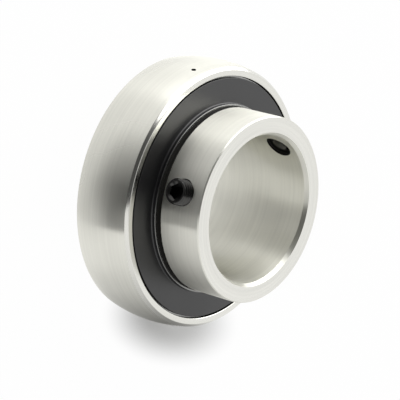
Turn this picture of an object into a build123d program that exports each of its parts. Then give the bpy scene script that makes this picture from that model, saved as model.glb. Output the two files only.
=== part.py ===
from build123d import *
import os
from math import asin, degrees, sqrt

# Insert bearing with a wide inner ring: a ball bearing whose outside is a ball, so that it
# tilts to line up in its housing, and whose long collar is held on the shaft by two set screws.
#
# Millimetres. The origin is the centre of the spherical outside, on the bearing's axis.
# +Z runs along the axis towards the long collar, and set screw 1 stands close to -Y.

# Main sizes. The walls, balls and gaps add up to the standard outside of 100, and the ball,
# cage, seals and flingers to the outer ring's width of 25.
bore_d = 55.0
inner_wall = 4.026  # bore to the bottom of the race
outer_wall = 4.026  # bottom of the race to the spherical outside
collar_wall = 7.0
long_end = 33.4  # sphere's centre to the face of the long collar
short_end = 22.2  # sphere's centre to the face of the short collar

# Ball set
ball_d = 14.288
ball_count = 10
race_gap = 0.08  # ball to race, on each side
inner_conformity = 0.515  # groove radius over ball diameter
outer_conformity = 0.53
shoulder_reach = 4.15  # pitch circle to the shoulder of either ring

# Riveted ribbon cage
cage_sheet = 1.0
cage_band = 5.1
pocket_gap = 0.2
cage_bend = 0.6  # inside radius, pocket to land
rivet_d = 1.8
rivet_head_d = 3.4
rivet_head_h = 0.7
rivet_fit = 0.04

# Outer ring
recess_step = 2.4  # shoulder out to the wall of the seal's recess
rim_chamfer = 1.0
recess_chamfer = 0.3
oil_hole_d = 1.8
oil_hole_margin = 0.2  # race's edge to the hole
oil_hole_angle = -148.5
oil_hole_spread = 120.0

# Seals: a pressed steel shell in the outer ring's recess, with a rubber lip bonded on its inner edge
cage_to_seal = 0.45
shell_sheet = 0.8
shell_height = 2.306  # over its turned-up edge
shell_fit = 0.02
shell_bend = 0.4  # inside radius
shell_edge = 2.4  # inner ring's land to the shell's edge
lip_gap = 0.1
lip_sheet = 0.6
lip_tip = 0.35
lip_overlap = 1.6  # width bonded on the shell

# Flingers: pressed steel covers that sit tight on the inner ring and turn with it
flinger_sheet = 0.6
flinger_fit = 0.02
flinger_bend = 0.5  # inside radius
flinger_edge = 0.2
flinger_inset = 0.2  # below the outer ring's side face
flinger_margin = 0.6  # edge to the wall of the recess
flinger_flange = 1.6  # height above the disc
labyrinth_gap = 0.6  # seal shell to flinger

# Inner ring
relief_width = 1.9
relief_depth = 0.65
relief_slope = 0.25
collar_chamfer = 0.4
bore_chamfer = 1.0
bore_chamfer_length = 1.5

# Set screws, as plain cylinders at the thread's pitch diameter
thread_d = 10.0
thread_pitch = 1.25
thread_gap = 0.05
screw_length = 8.0
screw_from_end = 9.25  # face of the long collar to the screw's axis
screw_recesses = (3.1, 0.9)  # point of each screw below the wall of the bore
screw_chamfer = 0.8
screw_angle = -87.5
screw_spread = 120.0
socket_width = 5.0
socket_depth = 4.0
cup_d = 5.2
cup_depth = 1.2
countersink = 0.5

# Radii that the sizes above give
bore_r = bore_d / 2
ball_r = ball_d / 2
inner_race_r = bore_r + inner_wall
pitch_r = inner_race_r + race_gap + ball_r
outer_race_r = pitch_r + ball_r + race_gap
sphere_r = outer_race_r + outer_wall
collar_r = bore_r + collar_wall
land_r = pitch_r - shoulder_reach
shoulder_r = pitch_r + shoulder_reach
recess_r = shoulder_r + recess_step
relief_r = min(collar_r, land_r) - relief_depth
inner_groove_r = inner_conformity * ball_d
outer_groove_r = outer_conformity * ball_d
pocket_r = ball_r + pocket_gap
cage_in_r = pitch_r - cage_band / 2
cage_out_r = pitch_r + cage_band / 2
screw_r = (thread_d - 3 * sqrt(3) / 8 * thread_pitch) / 2
screw_hole_r = screw_r + thread_gap

# Heights above the middle plane; each seal, land and relief is the same on both sides
inner_groove_edge = sqrt(inner_groove_r**2 - (inner_race_r + inner_groove_r - land_r) ** 2)
outer_groove_edge = sqrt(outer_groove_r**2 - (shoulder_r - outer_race_r + outer_groove_r) ** 2)
cage_top = pocket_r + cage_sheet
shell_floor = cage_top + cage_to_seal
shell_top = shell_floor + shell_sheet
shell_rim = shell_floor + shell_height
disc_floor = shell_rim + labyrinth_gap
disc_top = disc_floor + flinger_sheet
flange_top = disc_top + flinger_flange
side_face = disc_top + flinger_inset
relief_top = flange_top + relief_width
oil_hole_z = outer_groove_edge + oil_hole_margin + oil_hole_d / 2
screw_z = long_end - screw_from_end


def turned(outline):
    """A ring turned about the bearing's axis from a flat outline drawn as (radius, height)."""
    return revolve(Plane.XZ * outline, axis=Axis.Z)


def strip(low_r, high_r, low_z, high_z):
    """A plain rectangle of a ring's section."""
    return Pos((low_r + high_r) / 2, (low_z + high_z) / 2) * Rectangle(high_r - low_r, high_z - low_z)


def rounded(section, corner, radius):
    """The section with the corner nearest to a point rounded."""
    return fillet(section.vertices().sort_by_distance((*corner, 0))[0], radius)


def both_sides(part):
    """A piece of the long side, and the same piece on the short side."""
    return part, mirror(part, about=Plane.XY)


def spread(angle, radius, height=0.0):
    """A place round the axis, its own Z along the bearing's axis."""
    return Rot(0, 0, angle) * Pos(radius, 0, height)


def outward(angle, radius, height):
    """A place round the axis, its own Z pointing straight out."""
    return spread(angle, radius, height) * Rot(0, 90, 0)


def outer_ring():
    """The ball-shaped outer ring: race, seal recesses and two grease holes."""
    sphere_edge = side_face - rim_chamfer
    sphere_edge_r = sqrt(sphere_r**2 - sphere_edge**2)

    def side(sign):
        return [
            (sphere_edge_r, sign * sphere_edge),
            (sphere_edge_r - rim_chamfer, sign * side_face),
            (recess_r + recess_chamfer, sign * side_face),
            (recess_r, sign * (side_face - recess_chamfer)),
            (recess_r, sign * shell_floor),
            (shoulder_r, sign * shell_floor),
            (shoulder_r, sign * outer_groove_edge),
        ]

    front, back = side(1), side(-1)
    outline = make_face(
        [
            ThreePointArc(back[0], (sphere_r, 0), front[0]),
            Polyline(*front),
            ThreePointArc(front[-1], (outer_race_r, 0), back[-1]),
            Polyline(*reversed(back)),
        ]
    )
    ring = turned(outline)
    wall_middle = (shoulder_r + sphere_r) / 2
    drill = Cylinder(oil_hole_d / 2, 2 * (sphere_r - shoulder_r))
    ring -= outward(oil_hole_angle, wall_middle, oil_hole_z) * drill
    ring -= outward(oil_hole_angle - oil_hole_spread, wall_middle, -oil_hole_z) * drill
    return ring


def inner_ring():
    """The wide inner ring: race, lands for the flingers, reliefs, collars and two tapped holes."""

    def side(sign, end):
        return [
            (land_r, sign * inner_groove_edge),
            (land_r, sign * flange_top),
            (relief_r, sign * (flange_top + relief_slope)),
            (relief_r, sign * (relief_top - relief_slope)),
            (collar_r - relief_slope, sign * relief_top),
            (collar_r, sign * (relief_top + relief_slope)),
            (collar_r, sign * (end - collar_chamfer)),
            (collar_r - collar_chamfer, sign * end),
            (bore_r + bore_chamfer, sign * end),
            (bore_r, sign * (end - bore_chamfer_length)),
        ]

    front, back = side(1, long_end), side(-1, short_end)
    outline = make_face(
        [
            ThreePointArc(back[0], (inner_race_r, 0), front[0]),
            Polyline(*front),
            Line(front[-1], back[-1]),
            Polyline(*reversed(back)),
        ]
    )
    ring = turned(outline)
    for angle in screw_angles():
        ring -= outward(angle, bore_r + collar_wall / 2, screw_z) * Cylinder(screw_hole_r, 2 * collar_wall)
        mouth = Cone(screw_hole_r, screw_hole_r + 2 * countersink, 2 * countersink)
        ring -= outward(angle, collar_r, screw_z) * mouth
    return ring


def screw_angles():
    """Where the two set screws stand round the collar."""
    return screw_angle, screw_angle - screw_spread


def ball(number):
    """One ball on the pitch circle."""
    return spread(number * 360 / ball_count, pitch_r) * Sphere(ball_r)


def pocket_dome():
    """The outside of one pocket, over its ball: a dome that runs into the flat land in a bend."""
    dome_r = pocket_r + cage_sheet
    bend_z = cage_sheet + cage_bend
    bend_x = sqrt((dome_r + cage_bend) ** 2 - bend_z**2)
    join = degrees(asin(bend_z / (dome_r + cage_bend)))
    outline = make_face(
        [
            Polyline((0, dome_r), (0, 0), (bend_x, 0), (bend_x, cage_sheet)),
            CenterArc((bend_x, bend_z), cage_bend, 270, join - 90),
            CenterArc((0, 0), dome_r, join, 90 - join),
        ]
    )
    return turned(outline)


def cage_half():
    """One pressed half of the cage: flat lands, drilled for the rivets, joined by round pockets."""
    band = turned(strip(cage_in_r, cage_out_r, 0, 2 * cage_top))
    half = turned(strip(cage_in_r, cage_out_r, 0, cage_sheet))
    places = [spread(number * 360 / ball_count, pitch_r) for number in range(ball_count)]
    half += [place * pocket_dome() & band for place in places]
    half -= [place * Sphere(pocket_r) for place in places]
    drill = Cylinder(rivet_d / 2 + rivet_fit, 4 * cage_sheet)
    return half - [rivet_place(number) * drill for number in range(ball_count)]


def rivet_place(number):
    """The middle of the land that follows a ball."""
    return spread((number + 0.5) * 360 / ball_count, pitch_r)


def cage_rivet(number):
    """A rivet through both halves, with a round head on each side."""
    shank_r = rivet_d / 2
    head_r = rivet_head_d / 2
    top = cage_sheet + rivet_head_h
    dome_r = (head_r**2 + rivet_head_h**2) / (2 * rivet_head_h)
    reach = degrees(asin(head_r / dome_r))
    outline = make_face(
        [
            Polyline((0, top), (0, 0), (shank_r, 0), (shank_r, cage_sheet), (head_r, cage_sheet)),
            CenterArc((0, top - dome_r), dome_r, 90 - reach, reach),
        ]
    )
    upper, lower = both_sides(turned(outline))
    return rivet_place(number) * (upper + lower)


def seal_shell():
    """The seal's steel shell: a washer in the recess, its outer edge turned up along the wall."""
    out_r = recess_r - shell_fit
    in_r = land_r + shell_edge
    section = strip(in_r, out_r, shell_floor, shell_top)
    section += strip(out_r - shell_sheet, out_r, shell_floor, shell_rim)
    section = rounded(section, (out_r - shell_sheet, shell_top), shell_bend)
    section = rounded(section, (out_r, shell_floor), shell_bend + shell_sheet)
    return turned(section)


def seal_lip():
    """The rubber lip: it covers the shell's inner edge and reaches down to the inner ring's land."""
    edge_r = land_r + shell_edge
    tip_r = land_r + lip_gap
    root_r = edge_r - lip_sheet
    lip_top = shell_top + lip_sheet
    section = make_face(
        Polyline(
            (edge_r + lip_overlap, shell_top),
            (edge_r + lip_overlap - lip_sheet / 2, lip_top),
            (root_r, lip_top),
            (tip_r, shell_top + lip_tip),
            (tip_r, shell_top),
            (root_r, shell_floor),
            (edge_r, shell_floor),
            (edge_r, shell_top),
            close=True,
        )
    )
    return turned(section)


def flinger():
    """The outside cover: a flat disc whose inner edge is turned out into a collar on the ring."""
    in_r = land_r + flinger_fit
    out_r = recess_r - flinger_margin
    section = strip(in_r, out_r, disc_floor, disc_top)
    section += strip(in_r, in_r + flinger_sheet, disc_floor, flange_top)
    section = rounded(section, (in_r + flinger_sheet, disc_top), flinger_bend)
    section = rounded(section, (in_r, disc_floor), flinger_bend + flinger_sheet)
    section = rounded(section, (out_r, disc_top), flinger_edge)
    section = rounded(section, (in_r + flinger_sheet, flange_top), flinger_edge)
    return turned(section)


def set_screw(angle, recess):
    """A socket set screw with a cup point, its point towards the shaft."""
    cup_r = cup_d / 2
    point_rise = (screw_r - cup_r) / 2
    section = make_face(
        Polyline(
            (0, cup_depth),
            (cup_r, 0),
            (screw_r, point_rise),
            (screw_r, screw_length - screw_chamfer),
            (screw_r - screw_chamfer, screw_length),
            (0, screw_length),
            close=True,
        )
    )
    hexagon = RegularPolygon(socket_width / 2, 6, major_radius=False)
    socket = extrude(Pos(0, 0, screw_length) * hexagon, amount=-socket_depth)
    screw = turned(section) - socket
    return outward(angle, bore_r + recess, screw_z) * screw


def pieces():
    """Every piece of the bearing by name, from the outside in."""
    made = {"outer_ring": outer_ring(), "inner_ring": inner_ring()}
    for number in range(ball_count):
        made[f"ball_{number + 1:02d}"] = ball(number)
        made[f"cage_rivet_{number + 1:02d}"] = cage_rivet(number)
    made["cage_half_front"], made["cage_half_back"] = both_sides(cage_half())
    made["front_seal_shell"], made["back_seal_shell"] = both_sides(seal_shell())
    made["front_seal_lip"], made["back_seal_lip"] = both_sides(seal_lip())
    made["front_flinger"], made["back_flinger"] = both_sides(flinger())
    for number, (angle, recess) in enumerate(zip(screw_angles(), screw_recesses), start=1):
        made[f"set_screw_{number}"] = set_screw(angle, recess)
    return made


os.makedirs("parts", exist_ok=True)
for name, piece in pieces().items():
    export_step(piece, f"parts/{name}.step")
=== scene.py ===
import math
import bpy
from mathutils import Matrix, Vector


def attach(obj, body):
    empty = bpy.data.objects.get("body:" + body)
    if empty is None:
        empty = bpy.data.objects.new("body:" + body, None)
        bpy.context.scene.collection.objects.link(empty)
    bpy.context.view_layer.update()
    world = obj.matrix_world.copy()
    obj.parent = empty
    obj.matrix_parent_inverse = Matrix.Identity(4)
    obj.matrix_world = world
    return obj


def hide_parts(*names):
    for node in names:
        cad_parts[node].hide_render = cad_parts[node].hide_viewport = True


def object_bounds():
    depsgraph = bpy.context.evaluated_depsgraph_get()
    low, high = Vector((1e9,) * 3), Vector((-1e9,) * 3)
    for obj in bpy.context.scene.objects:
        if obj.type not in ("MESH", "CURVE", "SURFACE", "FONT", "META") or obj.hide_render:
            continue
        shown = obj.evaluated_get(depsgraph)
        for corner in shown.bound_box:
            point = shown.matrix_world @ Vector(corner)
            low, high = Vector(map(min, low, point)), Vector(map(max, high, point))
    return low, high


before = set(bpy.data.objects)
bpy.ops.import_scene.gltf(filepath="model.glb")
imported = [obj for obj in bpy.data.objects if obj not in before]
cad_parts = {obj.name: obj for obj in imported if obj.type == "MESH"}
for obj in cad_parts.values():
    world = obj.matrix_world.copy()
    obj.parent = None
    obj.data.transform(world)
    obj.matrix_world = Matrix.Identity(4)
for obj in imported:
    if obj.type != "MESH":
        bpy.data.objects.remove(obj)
cad_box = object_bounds()


# The camera stands at the photograph's viewing angle, looking at the face of the long collar from
# one side. It is rolled, so that the bearing, which stands on its end here, shows upright.
def turned_by(axis, degrees):
    """A turn about one axis."""
    return Matrix.Rotation(math.radians(degrees), 4, axis)


mm = 0.001
camera_distance = 871.5 * mm
camera_azimuth = 0.38
camera_elevation = 38.46
camera_roll = 105.24
camera_pan = 0.2356
camera_tilt = 0.2172

scene = bpy.context.scene
scene.view_settings.view_transform = "Standard"
lens = bpy.data.cameras.new("photo_camera")
lens.sensor_width = 36
lens.lens = 212.2
lens.clip_start = 0.01
lens.clip_end = 20
camera = bpy.data.objects.new("photo_camera", lens)
scene.collection.objects.link(camera)
aim = turned_by("Z", camera_azimuth) @ turned_by("X", 90 - camera_elevation) @ turned_by("Z", camera_roll)
eye = aim @ Vector((0, 0, camera_distance))
stand = Matrix.Translation(eye) @ aim
camera.matrix_world = stand @ turned_by("Y", -camera_pan) @ turned_by("X", -camera_tilt)
scene.camera = camera


# The floor is a pale sheet under the short collar. Camera and mirror rays see it nearly white, save for
# a painted shadow: an oval patch, set by its place on the floor, where the paper's own lit grey and the
# bearing's real shadow show through. The room around it is as white, but darker behind the camera, which
# only the mirroring steel shows.
def new_material(name):
    """An empty material and its node tree, with a shader already on the output."""
    material = bpy.data.materials.new(name)
    material.use_nodes = True
    return material, material.node_tree


def set_inputs(tree, node, inputs):
    """Sets a node's inputs to values, or joins them to the outputs of other nodes."""
    for name, value in inputs.items():
        if isinstance(value, bpy.types.NodeSocket):
            tree.links.new(value, node.inputs[name])
        else:
            node.inputs[name].default_value = value


def linked(tree, kind, inputs=(), **settings):
    """A new node with its settings made and its inputs set or joined."""
    node = tree.nodes.new(kind)
    for name, value in settings.items():
        setattr(node, name, value)
    set_inputs(tree, node, dict(inputs))
    return node


def maths(tree, operation, first, second):
    """The result of one sum."""
    return linked(tree, "ShaderNodeMath", {0: first, 1: second}, operation=operation).outputs[0]


def vector_maths(tree, operation, *vectors):
    """The result of one sum of vectors, which is a number for a length or a dot product."""
    node = linked(tree, "ShaderNodeVectorMath", dict(enumerate(vectors)), operation=operation)
    return node.outputs["Value" if operation in ("LENGTH", "DOT_PRODUCT") else "Vector"]


def spread(tree, value, span, ends, curve="LINEAR"):
    """A value that runs between two ends while another one crosses a span."""
    low, high = span
    first, last = ends
    limits = {"Value": value, "From Min": low, "From Max": high, "To Min": first, "To Max": last}
    return linked(tree, "ShaderNodeMapRange", limits, interpolation_type=curve).outputs[0]


def blended(tree, share, first, second):
    """A number between two others."""
    ends = {"Factor": share, "A": first, "B": second}
    return linked(tree, "ShaderNodeMix", ends, data_type="FLOAT").outputs[0]


def white_to_the_eye(tree):
    """1 for a ray from the camera, or one that metal or glass sends on, and 0 for the rest."""
    ray = linked(tree, "ShaderNodeLightPath").outputs
    sent_on = maths(tree, "MAXIMUM", ray["Is Glossy Ray"], ray["Is Transmission Ray"])
    return maths(tree, "MAXIMUM", ray["Is Camera Ray"], sent_on)


floor_size = 6.0
floor_height = cad_box[0].z
floor_shade = (0.74, 0.74, 0.735, 1)
floor_white = 0.985
# Painted shadow: in this stretched oval the white glow gives way to the lit grey paper.
shadow_centre = (50 * mm, 39 * mm, floor_height)
shadow_stretch = (3.0, 1.3, 0.0)
shadow_core = 14 * mm
shadow_reach = 58 * mm

bpy.ops.object.select_all(action="DESELECT")
bpy.ops.mesh.primitive_plane_add(size=floor_size, location=(0, 0, floor_height))
floor = bpy.context.object
floor.name = "floor"
floor_paper, tree = new_material("floor_paper")
paper = tree.nodes["Principled BSDF"]
set_inputs(tree, paper, {"Base Color": floor_shade, "Roughness": 0.9, "Specular IOR Level": 0.1})
spot = linked(tree, "ShaderNodeNewGeometry").outputs["Position"]
from_centre = vector_maths(tree, "SUBTRACT", spot, shadow_centre)
distance = vector_maths(tree, "LENGTH", vector_maths(tree, "MULTIPLY", from_centre, shadow_stretch))
unshaded = spread(tree, distance, (shadow_core, shadow_reach), (0.0, floor_white), "SMOOTHSTEP")
share = maths(tree, "MULTIPLY", white_to_the_eye(tree), unshaded)
glow = linked(tree, "ShaderNodeEmission", {"Color": (1, 1, 1, 1), "Strength": 1.0})
mixed = linked(tree, "ShaderNodeMixShader", {0: share, 1: paper.outputs[0], 2: glow.outputs[0]})
tree.links.new(mixed.outputs[0], tree.nodes["Material Output"].inputs["Surface"])
floor.data.materials.append(floor_paper)

room_light = 0.5
room_white = 1.0
dark_side = (0.0, -0.8, 0.6)
dark_span = (0.2, 0.95)
dark_level = 0.06

world = bpy.data.worlds.new("studio")
scene.world = world
world.use_nodes = True
tree = world.node_tree
seen = white_to_the_eye(tree)
mirrored = maths(tree, "SUBTRACT", 1.0, linked(tree, "ShaderNodeLightPath").outputs["Is Camera Ray"])
way = linked(tree, "ShaderNodeTexCoord").outputs["Generated"]
towards_dark = vector_maths(tree, "DOT_PRODUCT", way, dark_side)
mirror_level = spread(tree, towards_dark, dark_span, (room_white, dark_level), "SMOOTHSTEP")
seen_level = blended(tree, mirrored, room_white, mirror_level)
level = blended(tree, seen, room_light, seen_level)
set_inputs(tree, tree.nodes["Background"], {"Color": (1, 1, 1, 1), "Strength": level})


# Lamp and cards: a large soft box on the side that shows uppermost, and three glowing cards that only
# the round steel mirrors, one upright and one lying at the side and one for the table. The camera doesn't
# see them. Their tones are painted reflections: the side cards a darker room, the table card a table
# with a painted shadow dark in its middle.
box_place = Vector((-0.55, 0.09, 0.26))
box_width = 0.95
box_height = 0.66
box_power = 4.2

lamp = bpy.data.lights.new("upper_box", "AREA")
lamp.shape = "RECTANGLE"
lamp.size = box_width
lamp.size_y = box_height
lamp.energy = box_power
upper_box = bpy.data.objects.new("upper_box", lamp)
scene.collection.objects.link(upper_box)
upper_box.location = box_place
upper_box.rotation_mode = "QUATERNION"
upper_box.rotation_quaternion = (-box_place).to_track_quat("-Z", "Y")


def painted_reflection_card(name, place, turn, size, tones, radial):
    """A glowing card that only mirrors show, a painted reflection: it neither lights nor shades anything.
    Its tones fade from its left edge to its right edge, or from its middle outwards."""
    bpy.ops.object.select_all(action="DESELECT")
    bpy.ops.mesh.primitive_plane_add(size=1, location=place, rotation=turn)
    card = bpy.context.object
    card.name = name
    card.scale = (*size, 1)
    material, tree = new_material(f"{name}_paper")
    spot = linked(tree, "ShaderNodeTexCoord").outputs["Object"]
    if radial:
        from_middle = vector_maths(tree, "LENGTH", vector_maths(tree, "MULTIPLY", spot, (*size, 1)))
        along = maths(tree, "DIVIDE", from_middle, size[0] / 2)
    else:
        along = maths(tree, "ADD", linked(tree, "ShaderNodeSeparateXYZ", {0: spot}).outputs[0], 0.5)
    fade = linked(tree, "ShaderNodeValToRGB", {"Fac": along})
    ramp = fade.color_ramp
    ramp.elements.remove(ramp.elements[1])
    for number, (position, tone) in enumerate(tones):
        element = ramp.elements.new(position) if number else ramp.elements[0]
        element.position = position
        element.color = (tone, tone, tone, 1)
    glow = linked(tree, "ShaderNodeEmission", {"Color": fade.outputs["Color"], "Strength": 1.0})
    tree.links.new(glow.outputs[0], tree.nodes["Material Output"].inputs["Surface"])
    card.data.materials.append(material)
    card.visible_camera = False
    card.visible_diffuse = False
    card.visible_shadow = False


# Painted reflections of a dark room beside the camera: an upright card and one lying on the floor.
painted_reflection_card(
    "side_card",
    place=(4 * mm, -75 * mm, -2 * mm),
    turn=(math.radians(90), 0, 0),
    size=(124 * mm, 40 * mm),
    tones=((0, 1.0), (0.18, 0.85), (0.38, 0.4), (0.55, 0.1), (0.72, 0.04), (0.97, 0.04), (1.0, 0.3)),
    radial=False,
)
painted_reflection_card(
    "front_card",
    place=(4 * mm, -63 * mm, -21.5 * mm),
    turn=(0, 0, 0),
    size=(124 * mm, 24 * mm),
    tones=((0, 1.0), (0.27, 0.92), (0.37, 0.88), (0.47, 0.84), (0.57, 0.8), (0.7, 0.74), (1.0, 0.8)),
    radial=False,
)
# A painted reflection of the table, with a painted shadow darkest in its middle.
painted_reflection_card(
    "table_shadow_card",
    place=(52 * mm, 0, 6 * mm),
    turn=(0, math.radians(-90), 0),
    size=(240 * mm, 240 * mm),
    tones=((0, 0.16), (0.11, 0.37), (0.22, 0.66), (0.36, 0.88), (0.6, 0.97), (1.0, 1.0)),
    radial=True,
)


# Outer ring: hardened bearing steel, turned and then ground to a ball shape outside. It has a deep
# race inside, a recess on each side for the seal, and two drilled holes for grease.
def arc(centre, radius, start, end, steps):
    """Points of a ring's section along a circle, as (radius, height)."""
    turns = [math.radians(start + (end - start) * step / steps) for step in range(steps + 1)]
    return [(centre[0] + radius * math.cos(turn), centre[1] + radius * math.sin(turn)) for turn in turns]


def mirrored_below(half):
    """The same points on the other side of the middle plane, in reverse order."""
    return [(radius, -height) for radius, height in reversed(half)]


def drawn_line(name, corners):
    """A line of edges, left in edit mode: one point is extruded from corner to corner."""
    bpy.ops.object.select_all(action="DESELECT")
    bpy.ops.mesh.primitive_plane_add(size=mm)
    line = bpy.context.object
    line.name = name
    bpy.ops.object.mode_set(mode="EDIT")
    bpy.ops.mesh.merge(type="CENTER")
    bpy.ops.transform.translate(value=corners[0])
    for here, there in zip(corners, corners[1:]):
        bpy.ops.mesh.extrude_region_move(TRANSFORM_OT_translate={"value": there - here})
    return line


def merge_doubles():
    """Merges the corners that lie on each other in the piece in edit mode."""
    bpy.ops.mesh.select_all(action="SELECT")
    bpy.ops.mesh.remove_doubles(threshold=merge_width)


def tidy_faces():
    """Merges the doubles of the piece in edit mode, points its faces outwards and ends the edit."""
    merge_doubles()
    bpy.ops.mesh.select_all(action="SELECT")
    bpy.ops.mesh.normals_make_consistent(inside=False)
    bpy.ops.object.mode_set(mode="OBJECT")


def spun(name, outline, steps, closed=True):
    """A turned piece: its outline, given in mm, is drawn as a line and spun about the axis."""
    corners = [Vector((radius * mm, 0, height * mm)) for radius, height in outline]
    if closed:
        corners.append(corners[0])
    piece = drawn_line(name, corners)
    bpy.ops.mesh.select_all(action="SELECT")
    bpy.ops.mesh.spin(steps=steps, angle=2 * math.pi, center=(0, 0, 0), axis=(0, 0, 1))
    tidy_faces()
    return piece


def pick(piece):
    """Selects one piece alone and makes it the active one."""
    bpy.ops.object.select_all(action="DESELECT")
    bpy.context.view_layer.objects.active = piece
    piece.select_set(True)


def apply_modifier(piece, kind, **settings):
    """Adds one modifier, sets it and applies it."""
    pick(piece)
    modifier = piece.modifiers.new(kind.lower(), kind)
    for name, value in settings.items():
        setattr(modifier, name, value)
    bpy.ops.object.modifier_apply(modifier=modifier.name)


def broken_edges(piece, width):
    """Rounds every sharp edge a little, as deburring does."""
    sharp = math.radians(25)
    apply_modifier(piece, "BEVEL", width=width * mm, segments=2, limit_method="ANGLE", angle_limit=sharp)


def cut(piece, cutter):
    """Takes the cutter out of the piece and deletes it."""
    apply_modifier(piece, "BOOLEAN", operation="DIFFERENCE", solver="EXACT", object=cutter)
    bpy.data.objects.remove(cutter)


def smoothed(piece, angle=30):
    """Smooth shading that keeps flat faces flat and edges crisp."""
    pick(piece)
    bpy.ops.object.shade_smooth_by_angle(angle=math.radians(angle))
    apply_modifier(piece, "WEIGHTED_NORMAL", keep_sharp=True, weight=80)


def outward(angle, radius, height):
    """A place round the axis, in mm, whose own Z points straight out."""
    return turned_by("Z", angle) @ Matrix.Translation((radius * mm, 0, height * mm)) @ turned_by("Y", 90)


def placed(piece, place):
    """Moves a piece made at the origin to its place, in its mesh."""
    piece.matrix_world = place
    pick(piece)
    bpy.ops.object.transform_apply(location=True, rotation=True, scale=True)
    return piece


merge_width = 0.001 * mm
ball_d = 14.288
ring_steps = 360
sphere_r = 50.0
sphere_steps = 28
side_face = 12.5
rim_chamfer = 1.0
recess_r = 45.3
recess_floor = 8.794
recess_chamfer = 0.3
shoulder_r = 42.9
outer_race_r = 45.974
outer_groove_r = 0.53 * ball_d
groove_steps = 24
outer_break = 0.2

sphere_edge = side_face - rim_chamfer
sphere_lean = math.degrees(math.asin(sphere_edge / sphere_r))
sphere_edge_r = sphere_r * math.cos(math.radians(sphere_lean))
groove_middle = outer_race_r - outer_groove_r
groove_lean = math.degrees(math.acos((shoulder_r - groove_middle) / outer_groove_r))
outer_side = [
    (sphere_edge_r - rim_chamfer, side_face),
    (recess_r + recess_chamfer, side_face),
    (recess_r, side_face - recess_chamfer),
    (recess_r, recess_floor),
    (shoulder_r, recess_floor),
]
outer_outline = (
    arc((0, 0), sphere_r, -sphere_lean, sphere_lean, sphere_steps)
    + outer_side
    + arc((groove_middle, 0), outer_groove_r, groove_lean, -groove_lean, groove_steps)
    + mirrored_below(outer_side)
)
outer_ring = spun("ground_outer_ring", outer_outline, ring_steps)
broken_edges(outer_ring, outer_break)

grease_hole_r = 0.9
grease_hole_height = 7.18
front_hole_angle = -148.5
back_hole_angle = -268.5
drill_length = 14.0
drill_middle_r = 46.5
for angle, side in ((front_hole_angle, 1), (back_hole_angle, -1)):
    bpy.ops.object.select_all(action="DESELECT")
    bpy.ops.mesh.primitive_cylinder_add(vertices=40, radius=grease_hole_r * mm, depth=drill_length * mm)
    cut(outer_ring, placed(bpy.context.object, outward(angle, drill_middle_r, side * grease_hole_height)))
smoothed(outer_ring)


def new_group(name, inputs, outputs):
    """A shader node group whose inputs and outputs are named numbers."""
    group = bpy.data.node_groups.new(name, "ShaderNodeTree")
    for socket, value in inputs.items():
        made = group.interface.new_socket(socket, in_out="INPUT", socket_type="NodeSocketFloat")
        made.default_value = value
    for socket in outputs:
        group.interface.new_socket(socket, in_out="OUTPUT", socket_type="NodeSocketFloat")
    return group, group.nodes.new("NodeGroupInput").outputs, group.nodes.new("NodeGroupOutput").inputs


# Marks of a tool or a grinding wheel: fine rings about the bearing's axis, each only part of the way
# round, with soft blotches where the steel was wiped.
ring_marks, given, made = new_group(
    "ring_marks", {"Fineness": 900.0, "Wander": 0.7, "Blotches": 45.0}, ("Lines", "Broad", "Wiped")
)
place = linked(ring_marks, "ShaderNodeTexCoord").outputs["Object"]
parts = linked(ring_marks, "ShaderNodeSeparateXYZ", {0: place}).outputs
flat = linked(ring_marks, "ShaderNodeCombineXYZ", {0: parts[0], 1: parts[1]}).outputs[0]
radius = vector_maths(ring_marks, "LENGTH", flat)
heading = vector_maths(ring_marks, "NORMALIZE", flat)
heading_parts = linked(ring_marks, "ShaderNodeSeparateXYZ", {0: heading}).outputs
for output, share, detail in (("Lines", 1.0, 3.0), ("Broad", 0.45, 1.0)):
    fineness = maths(ring_marks, "MULTIPLY", given["Fineness"], share)
    wander_x = maths(ring_marks, "MULTIPLY", heading_parts[0], given["Wander"])
    wander_y = maths(ring_marks, "MULTIPLY", heading_parts[1], given["Wander"])
    rise = maths(ring_marks, "MULTIPLY", parts[2], fineness)
    spot = linked(ring_marks, "ShaderNodeCombineXYZ", {0: wander_x, 1: wander_y, 2: rise}).outputs[0]
    ring_number = maths(ring_marks, "MULTIPLY", radius, fineness)
    settings = {"Vector": spot, "W": ring_number, "Scale": 1.0, "Detail": detail}
    noise = linked(ring_marks, "ShaderNodeTexNoise", settings, noise_dimensions="4D")
    ring_marks.links.new(noise.outputs["Fac"], made[output])
blotches = {"Vector": place, "Scale": given["Blotches"], "Detail": 1.0}
wiped = linked(ring_marks, "ShaderNodeTexNoise", blotches)
ring_marks.links.new(wiped.outputs["Fac"], made["Wiped"])

# Even grain, the same in every direction: a fine one for the texture, and a broad one for soft
# changes of colour and sheen.
even_grain, given, made = new_group("even_grain", {"Grain": 1500.0}, ("Fine", "Broad"))
place = linked(even_grain, "ShaderNodeTexCoord").outputs["Object"]
for output, share, detail in (("Fine", 1.0, 4.0), ("Broad", 0.05, 2.0)):
    grain = maths(even_grain, "MULTIPLY", given["Grain"], share)
    noise = linked(even_grain, "ShaderNodeTexNoise", {"Vector": place, "Scale": grain, "Detail": detail})
    even_grain.links.new(noise.outputs["Fac"], made[output])


def colour_between(tree, share, dark, light):
    """A colour between a dark and a light one."""
    ends = {"Factor": share, "A": (*dark, 1), "B": (*light, 1)}
    return linked(tree, "ShaderNodeMix", ends, data_type="RGBA").outputs["Result"]


def shaded(tint, share):
    """A darker tone of a tint."""
    return [channel * share for channel in tint]


def bumped(tree, height, depth):
    """The surface's normal over fine bumps of a depth in mm."""
    return linked(tree, "ShaderNodeBump", {"Height": height, "Distance": depth * mm}).outputs[0]


middle_span = (0.3, 0.7)
line_span = (0.15, 0.85)
line_shade = 0.86
broad_height = 0.5
sheen_change = 0.1
across_the_rings = 0.25
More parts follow.
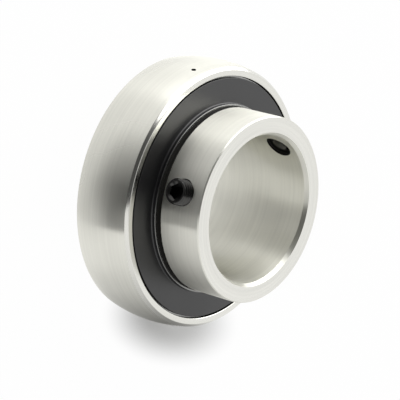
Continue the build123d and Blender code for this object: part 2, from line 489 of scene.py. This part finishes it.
# Near-black tones of the hollows' finish: hardening scale, made darker as painted shade.
hollow_shade_dark = (0.006, 0.006, 0.005)
hollow_shade_light = (0.025, 0.024, 0.021)


def marked_steel(name, tint, roughness, fineness, depth, anisotropy):
    """Bare steel with the marks of its tool round the axis."""
    material, tree = new_material(name)
    marks = linked(tree, "ShaderNodeGroup", {"Fineness": fineness}, node_tree=ring_marks).outputs
    streaks = spread(tree, marks["Lines"], line_span, (0.0, 1.0))
    sheen = (roughness * (1 - sheen_change), roughness * (1 + sheen_change))
    height = maths(tree, "ADD", marks["Lines"], maths(tree, "MULTIPLY", marks["Broad"], broad_height))
    around = linked(tree, "ShaderNodeTangent", direction_type="RADIAL", axis="Z").outputs[0]
    steel = {
        "Base Color": colour_between(tree, streaks, shaded(tint, line_shade), tint),
        "Metallic": 1.0,
        "Roughness": spread(tree, marks["Wiped"], middle_span, sheen, "SMOOTHSTEP"),
        "Normal": bumped(tree, height, depth),
        "Anisotropic": anisotropy,
        "Anisotropic Rotation": across_the_rings,
        "Tangent": around,
    }
    set_inputs(tree, tree.nodes["Principled BSDF"], steel)
    return material


def scale_and_painted_shade(name):
    """Dull near-black finish for hollows: the scale that hardening leaves where no tool came afterwards,
    made darker as painted shade.
    """
    material, tree = new_material(name)
    fine = linked(tree, "ShaderNodeGroup", {"Grain": 1500.0}, node_tree=even_grain).outputs["Fine"]
    scale = {
        "Base Color": colour_between(tree, fine, hollow_shade_dark, hollow_shade_light),
        "Roughness": 0.65,
        "Normal": bumped(tree, fine, depth=0.01),
        "Specular IOR Level": 0.15,
    }
    set_inputs(tree, tree.nodes["Principled BSDF"], scale)
    return material


def finish_faces(piece, number, chosen):
    """Gives the faces that a test picks the piece's material of that number. The test is given a face's
    distance from the axis and height, and how far its normal points outwards and upwards."""
    for face in piece.data.polygons:
        middle = face.center / mm
        radius = math.hypot(middle.x, middle.y)
        outward_part = (middle.x * face.normal.x + middle.y * face.normal.y) / radius
        if chosen(radius, middle.z, outward_part, face.normal.z):
            face.material_index = number


# How much of its normal lies along a direction that a face is square to, or leans to.
square = 0.9
leaning = 0.4
grease_wall_height = 9.0
grease_wall_r = 45.0
recess_wall_slack = 0.1


def side_faces(radius, height, out, up):
    """The flat sides of the outer ring, with their chamfers."""
    return abs(up) > leaning and radius > recess_r


def grease_hole_walls(radius, height, out, up):
    """The walls of the grease holes, between the race and the ball shape."""
    return abs(out) < square and abs(height) < grease_wall_height and radius > grease_wall_r


def recess_walls(radius, height, out, up):
    """The round walls of the seal recesses."""
    return out < -square and abs(radius - recess_r) < recess_wall_slack


ground_tint = (0.84, 0.834, 0.762)
faced_tint = (0.82, 0.815, 0.765)
ground_steel = marked_steel(
    "ground_steel", ground_tint, roughness=0.3, fineness=1100, depth=0.0025, anisotropy=0.95
)
faced_steel = marked_steel(
    "faced_steel", faced_tint, roughness=0.2, fineness=1100, depth=0.0012, anisotropy=0.5
)
skin_and_painted_shade = scale_and_painted_shade("skin_and_painted_shade")
for material in (ground_steel, faced_steel, skin_and_painted_shade):
    outer_ring.data.materials.append(material)
finish_faces(outer_ring, 1, side_faces)
# The grease holes and the seal recesses get the near-black finish: painted shade in these hollows.
finish_faces(outer_ring, 2, grease_hole_walls)
finish_faces(outer_ring, 2, recess_walls)

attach(outer_ring, "outer")
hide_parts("outer_ring")


# Inner ring: the same steel, turned, with the bore, the collars and the race ground. The long collar
# is drilled and tapped for the two set screws, and a narrow groove runs beside each flinger.
bore_r = 27.5
collar_r = 34.5
land_r = 34.6
relief_r = 33.85
flange_top = 13.9
relief_width = 1.9
relief_slope = 0.25
collar_chamfer = 0.4
bore_chamfer = 1.0
bore_chamfer_length = 1.5
long_end = 33.4
short_end = 22.2
inner_race_r = 31.526
inner_groove_r = 0.515 * ball_d
inner_break = 0.1


def inner_side(end):
    """The section from the race's edge along the outside, over the end and into the bore."""
    relief_top = flange_top + relief_width
    return [
        (land_r, flange_top),
        (relief_r, flange_top + relief_slope),
        (relief_r, relief_top - relief_slope),
        (collar_r - relief_slope, relief_top),
        (collar_r, relief_top + relief_slope),
        (collar_r, end - collar_chamfer),
        (collar_r - collar_chamfer, end),
        (bore_r + bore_chamfer, end),
        (bore_r, end - bore_chamfer_length),
    ]


inner_middle = inner_race_r + inner_groove_r
inner_lean = math.degrees(math.acos((inner_middle - land_r) / inner_groove_r))
inner_outline = (
    arc((inner_middle, 0), inner_groove_r, 180 + inner_lean, 180 - inner_lean, groove_steps)
    + inner_side(long_end)
    + mirrored_below(inner_side(short_end))
)
inner_ring = spun("turned_inner_ring", inner_outline, ring_steps)
broken_edges(inner_ring, inner_break)


def threaded_rod(name, crest_r, root_r, crest_flat, root_flat, low, high):
    """A rod with a thread, in mm: one turn of its profile is wound up the axis and cut off square."""
    flank = (thread_pitch - crest_flat - root_flat) / 2
    start = low - thread_lead_in
    turns = math.ceil((high - low) / thread_pitch) + spare_turns
    radii = [root_r, root_r, crest_r, crest_r, root_r]
    steps = [0, root_flat, flank, crest_flat, flank]
    heights = [start + sum(steps[: index + 1]) for index in range(len(steps))]
    corners = [Vector((radius * mm, 0, height * mm)) for radius, height in zip(radii, heights)]
    rod = drawn_line(name, corners)
    bpy.ops.object.mode_set(mode="OBJECT")
    winding = {"axis": "Z", "screw_offset": thread_pitch * mm, "iterations": turns}
    fineness = {"steps": thread_steps, "render_steps": thread_steps}
    merging = {"use_merge_vertices": True, "merge_threshold": merge_width}
    apply_modifier(rod, "SCREW", **winding, **fineness, **merging)
    bpy.ops.object.mode_set(mode="EDIT")
    merge_doubles()
    for height, direction in ((low, 1), (high, -1)):
        bpy.ops.mesh.select_all(action="SELECT")
        bpy.ops.mesh.bisect(
            plane_co=(0, 0, height * mm),
            plane_no=(0, 0, direction),
            use_fill=True,
            clear_inner=True,
            clear_outer=False,
            threshold=0.1 * merge_width,
        )
    tidy_faces()
    return rod


# Each hole is tapped right through the collar's wall and opens outside in a short cone. The tap and
# the cone's cutter are measured outwards from the start radius.
screw_angles = (-87.5, 152.5)
screw_height = 24.15
thread_pitch = 1.25
thread_steps = 64
thread_lead_in = 1.7 * thread_pitch
spare_turns = 4
hole_thread_r = 5.1
hole_crest_r = 4.75
hole_thread_flat = 0.504
hole_crest_flat = 0.1
tap_start_r = 28.6
tap_turn = 1.3
tap_low = -6.6
tap_high = 12.0
mouth_floor = 5.2
mouth_floor_r = 4.4
mouth_cone = 1.5
mouth_top = 8.0
mouth_r = mouth_floor_r + mouth_cone
mouth_outline = [
    (0, mouth_floor),
    (mouth_floor_r, mouth_floor),
    (mouth_r, mouth_floor + mouth_cone),
    (mouth_r, mouth_top),
    (0, mouth_top),
]
for angle in screw_angles:
    place = outward(angle, tap_start_r, screw_height)
    tap = threaded_rod(
        "tap", hole_thread_r, hole_crest_r, hole_thread_flat, hole_crest_flat, tap_low, tap_high
    )
    cut(inner_ring, placed(tap, place @ turned_by("Z", tap_turn)))
    cut(inner_ring, placed(spun("mouth", mouth_outline, thread_steps), place))
smoothed(inner_ring)

bore_leaning = 0.7
tap_wall_square = 0.92
tap_walls_low = 17.0
tap_walls_high = 30.0
tap_walls_skin = 0.35


def end_faces(radius, height, out, up):
    """The flat ends of both collars."""
    return abs(up) > square and radius < collar_r


def relief_grooves(radius, height, out, up):
    """The grooves beside the flingers."""
    return 0 < abs(height) - flange_top < relief_width and radius > bore_r + bore_chamfer


def bore_wall(radius, height, out, up):
    """The bore, without the threads that open in it."""
    return out < -bore_leaning and radius < bore_r + bore_chamfer


def tapped_hole_walls(radius, height, out, up):
    """The threads and cones of the two holes, under the collar's surface."""
    in_band = tap_walls_low < height < tap_walls_high and bore_r < radius < collar_r - tap_walls_skin
    return in_band and abs(out) < tap_wall_square


bore_tint = (0.82, 0.814, 0.744)
turned_steel = marked_steel(
    "turned_steel", ground_tint, roughness=0.31, fineness=1100, depth=0.0025, anisotropy=1.0
)
honed_steel = marked_steel(
    "honed_steel", bore_tint, roughness=0.36, fineness=1000, depth=0.0015, anisotropy=1.0
)
for material in (turned_steel, faced_steel, skin_and_painted_shade, honed_steel):
    inner_ring.data.materials.append(material)
finish_faces(inner_ring, 1, end_faces)
# The grooves beside the flingers and the tapped holes get the near-black finish: painted shade in these
# hollows.
finish_faces(inner_ring, 2, relief_grooves)
finish_faces(inner_ring, 3, bore_wall)
finish_faces(inner_ring, 2, tapped_hole_walls)

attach(inner_ring, "inner")
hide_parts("inner_ring")


# Ball set: ten balls of through-hardened steel, ground and lapped until they mirror. They roll in the
# races, spaced by the cage.
grain_shade = 0.85
grain_sheen_change = 0.2


def plain_finish(name, tint, metal, roughness, grain, depth):
    """A finish with an even fine grain and soft changes of sheen."""
    material, tree = new_material(name)
    grains = linked(tree, "ShaderNodeGroup", {"Grain": grain}, node_tree=even_grain).outputs
    sheen = (roughness * (1 - grain_sheen_change), roughness * (1 + grain_sheen_change))
    finish = {
        "Base Color": colour_between(tree, grains["Broad"], shaded(tint, grain_shade), tint),
        "Metallic": metal,
        "Roughness": spread(tree, grains["Broad"], middle_span, sheen),
        "Normal": bumped(tree, grains["Fine"], depth),
    }
    set_inputs(tree, tree.nodes["Principled BSDF"], finish)
    return material


def carried_over(nodes_named, material):
    """Gives CAD pieces that show as they are their finish."""
    for name in nodes_named:
        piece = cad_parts[name]
        piece.data.materials.clear()
        piece.data.materials.append(material)


ball_tint = (0.78, 0.78, 0.78)
ball_names = [f"ball_{number:02d}" for number in range(1, 11)]
ball_steel = plain_finish(
    "polished_ball_steel", ball_tint, metal=1.0, roughness=0.08, grain=2000, depth=0.0002
)
carried_over(ball_names, ball_steel)

# Cage: two halves pressed from sheet steel, with a round pocket for each ball. Ten rivets with heads
# on both sides join them through the lands between the balls.
cage_tint = (0.5, 0.5, 0.48)
rivet_tint = (0.55, 0.55, 0.53)
rivet_names = [f"cage_rivet_{number:02d}" for number in range(1, 11)]
cage_steel = plain_finish(
    "pressed_cage_steel", cage_tint, metal=1.0, roughness=0.4, grain=1500, depth=0.002
)
rivet_steel = plain_finish(
    "headed_rivet_steel", rivet_tint, metal=1.0, roughness=0.35, grain=2500, depth=0.002
)
carried_over(["cage_half_front", "cage_half_back"], cage_steel)
carried_over(rivet_names, rivet_steel)

# Seals: on each side a shell pressed from zinc-plated sheet, pushed into the outer ring's recess, with
# a lip of black nitrile rubber bonded on its inner edge that keeps the grease in.
shell_tint = (0.42, 0.42, 0.41)
rubber_tint = (0.03, 0.03, 0.03)
plated_shell = plain_finish(
    "plated_shell", shell_tint, metal=1.0, roughness=0.35, grain=1500, depth=0.001
)
nitrile_rubber = plain_finish(
    "nitrile_rubber", rubber_tint, metal=0.0, roughness=0.6, grain=3000, depth=0.004
)
carried_over(["front_seal_shell", "back_seal_shell"], plated_shell)
carried_over(["front_seal_lip", "back_seal_lip"], nitrile_rubber)

# Flingers: pressed from thin sheet steel and coated black, each with its inner edge turned out into
# a collar that grips the inner ring. They turn with it and throw off dirt.
flinger_sheet = 0.6
flinger_bend = 0.5
flinger_edge = 0.2
flinger_in_r = 34.62
flinger_out_r = 44.7
disc_top = 12.3
disc_floor = disc_top - flinger_sheet
outside_bend = flinger_bend + flinger_sheet
flange_r = flinger_in_r + flinger_sheet
bend_steps = 6
outside_steps = 8
edge_steps = 4
flinger_outline = (
    arc((flange_r + flinger_bend, disc_top + flinger_bend), flinger_bend, 180, 270, bend_steps)
    + arc((flinger_out_r - flinger_edge, disc_top - flinger_edge), flinger_edge, 90, 0, edge_steps)
    + [(flinger_out_r, disc_floor)]
    + arc((flinger_in_r + outside_bend, disc_floor + outside_bend), outside_bend, 270, 180, outside_steps)
    + [(flinger_in_r, flange_top)]
    + arc((flange_r - flinger_edge, flange_top - flinger_edge), flinger_edge, 90, 0, edge_steps)
)

coat_dark = (0.004, 0.004, 0.0045)
coat_light = (0.007, 0.007, 0.008)
coat_sheen = (0.3, 0.4)
highlight_width = 0.12


def black_coat(name):
    """Thin black coating over rolled sheet, with the sheet's fine rings showing through."""
    material, tree = new_material(name)
    fine_rings = {"Fineness": 1200, "Wander": 2.0}
    marks = linked(tree, "ShaderNodeGroup", fine_rings, node_tree=ring_marks).outputs
    coat = {
        "Base Color": colour_between(tree, marks["Wiped"], coat_dark, coat_light),
        "Roughness": spread(tree, marks["Wiped"], middle_span, coat_sheen),
        "IOR": 1.6,
        "Normal": bumped(tree, marks["Lines"], depth=0.0008),
        "Coat Weight": 0.2,
        "Coat Roughness": 0.25,
    }
    set_inputs(tree, tree.nodes["Principled BSDF"], coat)
    return material


def highlighted_rim(radius, height, out, up):
    """The end of the collar, given bare steel in place of the coat: a painted highlight along its edge.
    """
    return abs(height) > flange_top - highlight_width


# A lighter bare-steel finish on the collar's end, which paints the bright line of light along it.
rim_highlight_tint = (0.3, 0.3, 0.29)
flinger_black = black_coat("black_flinger_coat")
rim_highlight = plain_finish(
    "painted_flinger_rim_highlight", rim_highlight_tint, metal=1.0, roughness=0.3, grain=2000, depth=0.001
)
for side, turn in (("front", 1), ("back", -1)):
    outline = [(radius, turn * height) for radius, height in flinger_outline]
    flinger = spun(f"pressed_flinger_{side}", outline, ring_steps)
    smoothed(flinger, angle=50)
    flinger.data.materials.append(flinger_black)
    flinger.data.materials.append(rim_highlight)
    finish_faces(flinger, 1, highlighted_rim)
    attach(flinger, "inner")
    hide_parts(f"{side}_flinger")


# Set screws: threaded steel rod with a hexagon socket pressed in one end and a cup point turned on
# the other, hardened and blackened. Each clamps the long collar to the shaft. The threads here are
# shallower than real ones, so that a screw can slide along its hole without turning.
screw_length = 8.0
screw_recesses = (3.1, 0.9)
screw_crest_r = 4.73
screw_root_r = 4.27
screw_crest_flat = 0.156
screw_root_flat = 0.3125
screw_chamfer = 0.6
cup_r = 2.6
cup_depth = 1.2
cup_rim = 0.25
point_rise = 2.0
socket_width = 5.0
socket_depth = 4.0
socket_mouth = 4.2
socket_mouth_rise = 0.4
rod_low = -1.1
rod_high = screw_length + 0.9
clear_of_crests = 0.01

blank_outline = [
    (0, cup_depth),
    (cup_r, 0),
    (cup_r + cup_rim, 0),
    (screw_crest_r, point_rise),
    (screw_crest_r + clear_of_crests, screw_length - screw_chamfer),
    (screw_crest_r - screw_chamfer, screw_length),
    (0, screw_length),
]
screw = threaded_rod(
    "threaded_screw_1", screw_crest_r, screw_root_r, screw_crest_flat, screw_root_flat, rod_low, rod_high
)
blank = spun("screw_blank", blank_outline, thread_steps, closed=False)
apply_modifier(screw, "BOOLEAN", operation="INTERSECT", solver="EXACT", object=blank)
bpy.data.objects.remove(blank)

socket_r = socket_width / math.sqrt(3)
screw_top = (0, 0, screw_length * mm)
bpy.ops.object.select_all(action="DESELECT")
bpy.ops.mesh.primitive_cylinder_add(
    vertices=6, radius=socket_r * mm, depth=2 * socket_depth * mm, location=screw_top
)
cut(screw, bpy.context.object)
cone_depth = socket_mouth / math.sqrt(3)
cone_middle = (0, 0, (screw_length + socket_mouth_rise - cone_depth / 2) * mm)
bpy.ops.object.select_all(action="DESELECT")
bpy.ops.mesh.primitive_cone_add(
    vertices=48, radius1=0, radius2=socket_mouth * mm, depth=cone_depth * mm, location=cone_middle
)
cut(screw, bpy.context.object)

oxide_tint = (0.075, 0.074, 0.072)
screw_black = plain_finish("black_oxide", oxide_tint, metal=1.0, roughness=0.2, grain=900, depth=0.002)
screw.data.materials.append(screw_black)
second = screw.copy()
second.data = screw.data.copy()
second.name = "threaded_screw_2"
scene.collection.objects.link(second)
screws = zip((screw, second), screw_angles, screw_recesses)
for number, (piece, angle, recess) in enumerate(screws, start=1):
    placed(piece, outward(angle, bore_r + recess, screw_height))
    smoothed(piece, angle=25)
    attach(piece, f"set_screw_{number}")
    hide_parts(f"set_screw_{number}")
